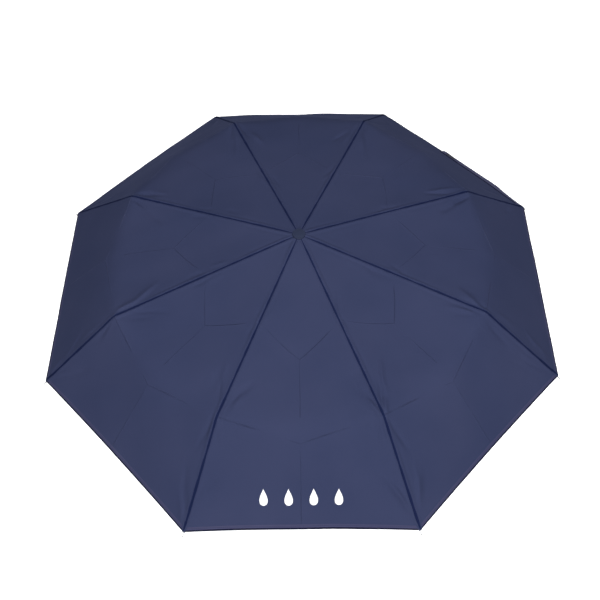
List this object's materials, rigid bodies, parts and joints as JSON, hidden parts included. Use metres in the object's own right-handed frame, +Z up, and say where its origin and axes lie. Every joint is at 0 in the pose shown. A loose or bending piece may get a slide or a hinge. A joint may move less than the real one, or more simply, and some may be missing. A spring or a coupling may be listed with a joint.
{
  "type": "folding umbrella",
  "caption": "Compact umbrella, shown open: a domed cloth canopy on folding ribs, with a sliding runner and a telescopic shaft.",
  "frame": {"origin": "centre of the straight hand grip, on the shaft's axis", "axes": "+Z up along the shaft to the crown; -Y towards the middle of the front gore; +X to the right of it"},
  "size_m": [0.9356, 0.9356, 0.5882],
  "materials": {
    "canopy_cloth": "matte",
    "strap_cloth": "matte",
    "cap_plastic": "satin",
    "black_plastic": "satin",
    "spring_steel": "satin",
    "shaft_steel": "polished",
    "handle_plastic": "satin",
    "collar_metal": "satin",
    "rib_steel": "satin",
    "tail_steel": "satin",
    "tip_metal": "polished"
  },
  "bodies": {
    "handle": {"handle": "handle_plastic", "handle_cap": "handle_plastic", "handle_collar": "collar_metal", "lower_tube": "shaft_steel"},
    "middle_tube": {"middle_tube": "shaft_steel"},
    "upper_shaft": {"upper_tube": "shaft_steel", "crown": "black_plastic", "top_cap": "cap_plastic", "canopy": "canopy_cloth", "closure_strap": "strap_cloth"},
    "runner": {"runner": "black_plastic"},
    "runner_catch": {"runner_catch": "spring_steel"},
    "top_rib_1": {"top_rib_1": "rib_steel"},
    "mid_rib_1": {"mid_rib_1": "rib_steel"},
    "tail_rib_1": {"tail_rib_1": "tail_steel", "rib_tip_1": "tip_metal"},
    "stretcher_1": {"stretcher_1": "rib_steel"},
    "link_1": {"link_1": "rib_steel"},
    "top_rib_2": {"top_rib_2": "rib_steel"},
    "mid_rib_2": {"mid_rib_2": "rib_steel"},
    "tail_rib_2": {"tail_rib_2": "tail_steel", "rib_tip_2": "tip_metal"},
    "stretcher_2": {"stretcher_2": "rib_steel"},
    "link_2": {"link_2": "rib_steel"},
    "top_rib_3": {"top_rib_3": "rib_steel"},
    "mid_rib_3": {"mid_rib_3": "rib_steel"},
    "tail_rib_3": {"tail_rib_3": "tail_steel", "rib_tip_3": "tip_metal"},
    "stretcher_3": {"stretcher_3": "rib_steel"},
    "link_3": {"link_3": "rib_steel"},
    "top_rib_4": {"top_rib_4": "rib_steel"},
    "mid_rib_4": {"mid_rib_4": "rib_steel"},
    "tail_rib_4": {"tail_rib_4": "tail_steel", "rib_tip_4": "tip_metal"},
    "stretcher_4": {"stretcher_4": "rib_steel"},
    "link_4": {"link_4": "rib_steel"},
    "top_rib_5": {"top_rib_5": "rib_steel"},
    "mid_rib_5": {"mid_rib_5": "rib_steel"},
    "tail_rib_5": {"tail_rib_5": "tail_steel", "rib_tip_5": "tip_metal"},
    "stretcher_5": {"stretcher_5": "rib_steel"},
    "link_5": {"link_5": "rib_steel"},
    "top_rib_6": {"top_rib_6": "rib_steel"},
    "mid_rib_6": {"mid_rib_6": "rib_steel"},
    "tail_rib_6": {"tail_rib_6": "tail_steel", "rib_tip_6": "tip_metal"},
    "stretcher_6": {"stretcher_6": "rib_steel"},
    "link_6": {"link_6": "rib_steel"},
    "top_rib_7": {"top_rib_7": "rib_steel"},
    "mid_rib_7": {"mid_rib_7": "rib_steel"},
    "tail_rib_7": {"tail_rib_7": "tail_steel", "rib_tip_7": "tip_metal"},
    "stretcher_7": {"stretcher_7": "rib_steel"},
    "link_7": {"link_7": "rib_steel"},
    "top_rib_8": {"top_rib_8": "rib_steel"},
    "mid_rib_8": {"mid_rib_8": "rib_steel"},
    "tail_rib_8": {"tail_rib_8": "tail_steel", "rib_tip_8": "tip_metal"},
    "stretcher_8": {"stretcher_8": "rib_steel"},
    "link_8": {"link_8": "rib_steel"}
  },
  "joints": [
    {"name": "lower_slide", "type": "slide", "parent": "handle", "child": "middle_tube", "axis": [0, 0, 1], "range_m": [-0.162, 0]},
    {"name": "upper_slide", "type": "slide", "parent": "middle_tube", "child": "upper_shaft", "axis": [0, 0, 1], "range_m": [-0.162, 0]},
    {"name": "canopy_fold", "type": "hinge", "parent": "upper_shaft", "child": "top_rib_1", "pos_m": [0.00878, 0.00364, 0.555], "axis": [-0.3827, 0.9239, 0], "range_deg": [0, 79.7], "deforming": ["canopy", "closure_strap", "runner_catch"]},
    {"name": "elbow_hinge_1", "type": "hinge", "parent": "top_rib_1", "child": "mid_rib_1", "pos_m": [0.15734, 0.06517, 0.53154], "axis": [-0.3827, 0.9239, 0], "range_deg": [-174.54, 0]},
    {"name": "outer_hinge_1", "type": "hinge", "parent": "mid_rib_1", "child": "tail_rib_1", "pos_m": [0.31291, 0.12961, 0.50475], "axis": [-0.3827, 0.9239, 0], "range_deg": [0, 145.64]},
    {"name": "stretcher_hinge_1", "type": "hinge", "parent": "top_rib_1", "child": "stretcher_1", "pos_m": [0.08009, 0.03317, 0.54374], "axis": [-0.3827, 0.9239, 0], "range_deg": [-139.95, 0]},
    {"name": "link_hinge_1", "type": "hinge", "parent": "stretcher_1", "child": "link_1", "pos_m": [0.07516, 0.03113, 0.54099], "axis": [-0.3827, 0.9239, 0], "range_deg": [0, 145.19]},
    {"name": "crown_hinge_2", "type": "hinge", "parent": "upper_shaft", "child": "top_rib_2", "pos_m": [0.00364, 0.00878, 0.555], "axis": [-0.9239, 0.3827, 0], "range_deg": [0, 79.7]},
    {"name": "elbow_hinge_2", "type": "hinge", "parent": "top_rib_2", "child": "mid_rib_2", "pos_m": [0.06517, 0.15734, 0.53154], "axis": [-0.9239, 0.3827, 0], "range_deg": [-174.54, 0]},
    {"name": "outer_hinge_2", "type": "hinge", "parent": "mid_rib_2", "child": "tail_rib_2", "pos_m": [0.12961, 0.31291, 0.50475], "axis": [-0.9239, 0.3827, 0], "range_deg": [0, 145.64]},
    {"name": "stretcher_hinge_2", "type": "hinge", "parent": "top_rib_2", "child": "stretcher_2", "pos_m": [0.03317, 0.08009, 0.54374], "axis": [-0.9239, 0.3827, 0], "range_deg": [-139.95, 0]},
    {"name": "link_hinge_2", "type": "hinge", "parent": "stretcher_2", "child": "link_2", "pos_m": [0.03113, 0.07516, 0.54099], "axis": [-0.9239, 0.3827, 0], "range_deg": [0, 145.19]},
    {"name": "crown_hinge_3", "type": "hinge", "parent": "upper_shaft", "child": "top_rib_3", "pos_m": [-0.00364, 0.00878, 0.555], "axis": [-0.9239, -0.3827, 0], "range_deg": [0, 79.7]},
    {"name": "elbow_hinge_3", "type": "hinge", "parent": "top_rib_3", "child": "mid_rib_3", "pos_m": [-0.06517, 0.15734, 0.53154], "axis": [-0.9239, -0.3827, 0], "range_deg": [-174.54, 0]},
    {"name": "outer_hinge_3", "type": "hinge", "parent": "mid_rib_3", "child": "tail_rib_3", "pos_m": [-0.12961, 0.31291, 0.50475], "axis": [-0.9239, -0.3827, 0], "range_deg": [0, 145.64]},
    {"name": "stretcher_hinge_3", "type": "hinge", "parent": "top_rib_3", "child": "stretcher_3", "pos_m": [-0.03317, 0.08009, 0.54374], "axis": [-0.9239, -0.3827, 0], "range_deg": [-139.95, 0]},
    {"name": "link_hinge_3", "type": "hinge", "parent": "stretcher_3", "child": "link_3", "pos_m": [-0.03113, 0.07516, 0.54099], "axis": [-0.9239, -0.3827, 0], "range_deg": [0, 145.19]},
    {"name": "crown_hinge_4", "type": "hinge", "parent": "upper_shaft", "child": "top_rib_4", "pos_m": [-0.00878, 0.00364, 0.555], "axis": [-0.3827, -0.9239, 0], "range_deg": [0, 79.7]},
    {"name": "elbow_hinge_4", "type": "hinge", "parent": "top_rib_4", "child": "mid_rib_4", "pos_m": [-0.15734, 0.06517, 0.53154], "axis": [-0.3827, -0.9239, 0], "range_deg": [-174.54, 0]},
    {"name": "outer_hinge_4", "type": "hinge", "parent": "mid_rib_4", "child": "tail_rib_4", "pos_m": [-0.31291, 0.12961, 0.50475], "axis": [-0.3827, -0.9239, 0], "range_deg": [0, 145.64]},
    {"name": "stretcher_hinge_4", "type": "hinge", "parent": "top_rib_4", "child": "stretcher_4", "pos_m": [-0.08009, 0.03317, 0.54374], "axis": [-0.3827, -0.9239, 0], "range_deg": [-139.95, 0]},
    {"name": "link_hinge_4", "type": "hinge", "parent": "stretcher_4", "child": "link_4", "pos_m": [-0.07516, 0.03113, 0.54099], "axis": [-0.3827, -0.9239, 0], "range_deg": [0, 145.19]},
    {"name": "crown_hinge_5", "type": "hinge", "parent": "upper_shaft", "child": "top_rib_5", "pos_m": [-0.00878, -0.00364, 0.555], "axis": [0.3827, -0.9239, 0], "range_deg": [0, 79.7]},
    {"name": "elbow_hinge_5", "type": "hinge", "parent": "top_rib_5", "child": "mid_rib_5", "pos_m": [-0.15734, -0.06517, 0.53154], "axis": [0.3827, -0.9239, 0], "range_deg": [-174.54, 0]},
    {"name": "outer_hinge_5", "type": "hinge", "parent": "mid_rib_5", "child": "tail_rib_5", "pos_m": [-0.31291, -0.12961, 0.50475], "axis": [0.3827, -0.9239, 0], "range_deg": [0, 145.64]},
    {"name": "stretcher_hinge_5", "type": "hinge", "parent": "top_rib_5", "child": "stretcher_5", "pos_m": [-0.08009, -0.03317, 0.54374], "axis": [0.3827, -0.9239, 0], "range_deg": [-139.95, 0]},
    {"name": "link_hinge_5", "type": "hinge", "parent": "stretcher_5", "child": "link_5", "pos_m": [-0.07516, -0.03113, 0.54099], "axis": [0.3827, -0.9239, 0], "range_deg": [0, 145.19]},
    {"name": "crown_hinge_6", "type": "hinge", "parent": "upper_shaft", "child": "top_rib_6", "pos_m": [-0.00364, -0.00878, 0.555], "axis": [0.9239, -0.3827, 0], "range_deg": [0, 79.7]},
    {"name": "elbow_hinge_6", "type": "hinge", "parent": "top_rib_6", "child": "mid_rib_6", "pos_m": [-0.06517, -0.15734, 0.53154], "axis": [0.9239, -0.3827, 0], "range_deg": [-174.54, 0]},
    {"name": "outer_hinge_6", "type": "hinge", "parent": "mid_rib_6", "child": "tail_rib_6", "pos_m": [-0.12961, -0.31291, 0.50475], "axis": [0.9239, -0.3827, 0], "range_deg": [0, 145.64]},
    {"name": "stretcher_hinge_6", "type": "hinge", "parent": "top_rib_6", "child": "stretcher_6", "pos_m": [-0.03317, -0.08009, 0.54374], "axis": [0.9239, -0.3827, 0], "range_deg": [-139.95, 0]},
    {"name": "link_hinge_6", "type": "hinge", "parent": "stretcher_6", "child": "link_6", "pos_m": [-0.03113, -0.07516, 0.54099], "axis": [0.9239, -0.3827, 0], "range_deg": [0, 145.19]},
    {"name": "crown_hinge_7", "type": "hinge", "parent": "upper_shaft", "child": "top_rib_7", "pos_m": [0.00364, -0.00878, 0.555], "axis": [0.9239, 0.3827, 0], "range_deg": [0, 79.7]},
    {"name": "elbow_hinge_7", "type": "hinge", "parent": "top_rib_7", "child": "mid_rib_7", "pos_m": [0.06517, -0.15734, 0.53154], "axis": [0.9239, 0.3827, 0], "range_deg": [-174.54, 0]},
    {"name": "outer_hinge_7", "type": "hinge", "parent": "mid_rib_7", "child": "tail_rib_7", "pos_m": [0.12961, -0.31291, 0.50475], "axis": [0.9239, 0.3827, 0], "range_deg": [0, 145.64]},
    {"name": "stretcher_hinge_7", "type": "hinge", "parent": "top_rib_7", "child": "stretcher_7", "pos_m": [0.03317, -0.08009, 0.54374], "axis": [0.9239, 0.3827, 0], "range_deg": [-139.95, 0]},
    {"name": "link_hinge_7", "type": "hinge", "parent": "stretcher_7", "child": "link_7", "pos_m": [0.03113, -0.07516, 0.54099], "axis": [0.9239, 0.3827, 0], "range_deg": [0, 145.19]},
    {"name": "crown_hinge_8", "type": "hinge", "parent": "upper_shaft", "child": "top_rib_8", "pos_m": [0.00878, -0.00364, 0.555], "axis": [0.3827, 0.9239, 0], "range_deg": [0, 79.7]},
    {"name": "elbow_hinge_8", "type": "hinge", "parent": "top_rib_8", "child": "mid_rib_8", "pos_m": [0.15734, -0.06517, 0.53154], "axis": [0.3827, 0.9239, 0], "range_deg": [-174.54, 0]},
    {"name": "outer_hinge_8", "type": "hinge", "parent": "mid_rib_8", "child": "tail_rib_8", "pos_m": [0.31291, -0.12961, 0.50475], "axis": [0.3827, 0.9239, 0], "range_deg": [0, 145.64]},
    {"name": "stretcher_hinge_8", "type": "hinge", "parent": "top_rib_8", "child": "stretcher_8", "pos_m": [0.08009, -0.03317, 0.54374], "axis": [0.3827, 0.9239, 0], "range_deg": [-139.95, 0]},
    {"name": "link_hinge_8", "type": "hinge", "parent": "stretcher_8", "child": "link_8", "pos_m": [0.07516, -0.03113, 0.54099], "axis": [0.3827, 0.9239, 0], "range_deg": [0, 145.19]},
    {"name": "runner_slide", "type": "slide", "parent": "upper_shaft", "child": "runner", "axis": [0, 0, 1], "range_m": [-0.11422, 0]},
    {"name": "catch_press", "type": "slide", "parent": "upper_shaft", "child": "runner_catch", "axis": [0, -1, 0], "range_m": [0, 0.00135], "stiffness_N_per_m": 700}
  ],
  "couplings": [
    {"joint": "elbow_hinge_1", "follows": "canopy_fold", "ratio": -2.19},
    {"joint": "outer_hinge_1", "follows": "canopy_fold", "ratio": 1.8274},
    {"joint": "stretcher_hinge_1", "follows": "canopy_fold", "ratio": -1.756},
    {"joint": "link_hinge_1", "follows": "canopy_fold", "ratio": 1.8217},
    {"joint": "crown_hinge_2", "follows": "canopy_fold", "ratio": 1},
    {"joint": "elbow_hinge_2", "follows": "canopy_fold", "ratio": -2.19},
    {"joint": "outer_hinge_2", "follows": "canopy_fold", "ratio": 1.8274},
    {"joint": "stretcher_hinge_2", "follows": "canopy_fold", "ratio": -1.756},
    {"joint": "link_hinge_2", "follows": "canopy_fold", "ratio": 1.8217},
    {"joint": "crown_hinge_3", "follows": "canopy_fold", "ratio": 1},
    {"joint": "elbow_hinge_3", "follows": "canopy_fold", "ratio": -2.19},
    {"joint": "outer_hinge_3", "follows": "canopy_fold", "ratio": 1.8274},
    {"joint": "stretcher_hinge_3", "follows": "canopy_fold", "ratio": -1.756},
    {"joint": "link_hinge_3", "follows": "canopy_fold", "ratio": 1.8217},
    {"joint": "crown_hinge_4", "follows": "canopy_fold", "ratio": 1},
    {"joint": "elbow_hinge_4", "follows": "canopy_fold", "ratio": -2.19},
    {"joint": "outer_hinge_4", "follows": "canopy_fold", "ratio": 1.8274},
    {"joint": "stretcher_hinge_4", "follows": "canopy_fold", "ratio": -1.756},
    {"joint": "link_hinge_4", "follows": "canopy_fold", "ratio": 1.8217},
    {"joint": "crown_hinge_5", "follows": "canopy_fold", "ratio": 1},
    {"joint": "elbow_hinge_5", "follows": "canopy_fold", "ratio": -2.19},
    {"joint": "outer_hinge_5", "follows": "canopy_fold", "ratio": 1.8274},
    {"joint": "stretcher_hinge_5", "follows": "canopy_fold", "ratio": -1.756},
    {"joint": "link_hinge_5", "follows": "canopy_fold", "ratio": 1.8217},
    {"joint": "crown_hinge_6", "follows": "canopy_fold", "ratio": 1},
    {"joint": "elbow_hinge_6", "follows": "canopy_fold", "ratio": -2.19},
    {"joint": "outer_hinge_6", "follows": "canopy_fold", "ratio": 1.8274},
    {"joint": "stretcher_hinge_6", "follows": "canopy_fold", "ratio": -1.756},
    {"joint": "link_hinge_6", "follows": "canopy_fold", "ratio": 1.8217},
    {"joint": "crown_hinge_7", "follows": "canopy_fold", "ratio": 1},
    {"joint": "elbow_hinge_7", "follows": "canopy_fold", "ratio": -2.19},
    {"joint": "outer_hinge_7", "follows": "canopy_fold", "ratio": 1.8274},
    {"joint": "stretcher_hinge_7", "follows": "canopy_fold", "ratio": -1.756},
    {"joint": "link_hinge_7", "follows": "canopy_fold", "ratio": 1.8217},
    {"joint": "crown_hinge_8", "follows": "canopy_fold", "ratio": 1},
    {"joint": "elbow_hinge_8", "follows": "canopy_fold", "ratio": -2.19},
    {"joint": "outer_hinge_8", "follows": "canopy_fold", "ratio": 1.8274},
    {"joint": "stretcher_hinge_8", "follows": "canopy_fold", "ratio": -1.756},
    {"joint": "link_hinge_8", "follows": "canopy_fold", "ratio": 1.8217},
    {"joint": "runner_slide", "follows": "canopy_fold", "m_per_rad": -0.082114}
  ]
}
